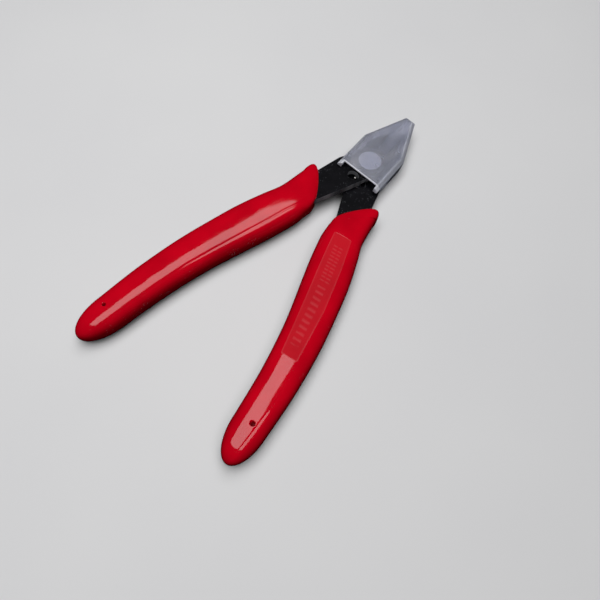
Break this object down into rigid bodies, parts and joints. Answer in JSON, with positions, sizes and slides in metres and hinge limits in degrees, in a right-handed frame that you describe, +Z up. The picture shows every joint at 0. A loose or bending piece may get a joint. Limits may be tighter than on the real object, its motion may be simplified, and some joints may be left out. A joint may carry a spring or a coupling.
{
  "type": "flush side cutters",
  "caption": "Small sprung side cutters with two lap-jointed black steel arms on a rivet, red dipped grips and a translucent cap over the jaws.",
  "frame": {"origin": "middle of the footprint, on the surface the tool lies on", "axes": "+Y from the handles to the jaws, +Z up out of the surface, +X to the right hand grip"},
  "size_m": [0.0659, 0.1362, 0.0101],
  "materials": {
    "blackened_steel": "satin black oxide",
    "bright_steel": "bright",
    "spring_steel": "bright drawn wire",
    "red_vinyl": "glossy dipped vinyl",
    "frosted_plastic": "translucent, frosted"
  },
  "bodies": {
    "lower_half": {"lower_arm": "blackened_steel", "right_grip": "red_vinyl", "pivot_rivet": "bright_steel", "return_spring": "spring_steel"},
    "upper_half": {"upper_arm": "blackened_steel", "left_grip": "red_vinyl"},
    "cap": {"jaw_cap": "frosted_plastic"}
  },
  "joints": [
    {"name": "squeeze", "type": "hinge", "parent": "lower_half", "child": "upper_half", "pos_m": [0, 0.04244, 0.005], "axis": [0, 0, 1], "range_deg": [0, 13], "stiffness_Nm_per_rad": 0.5, "springref_deg": -20.05},
    {"name": "cap_off", "type": "slide", "parent": "lower_half", "child": "cap", "axis": [0, 1, 0], "range_m": [0, 0.04]}
  ]
}
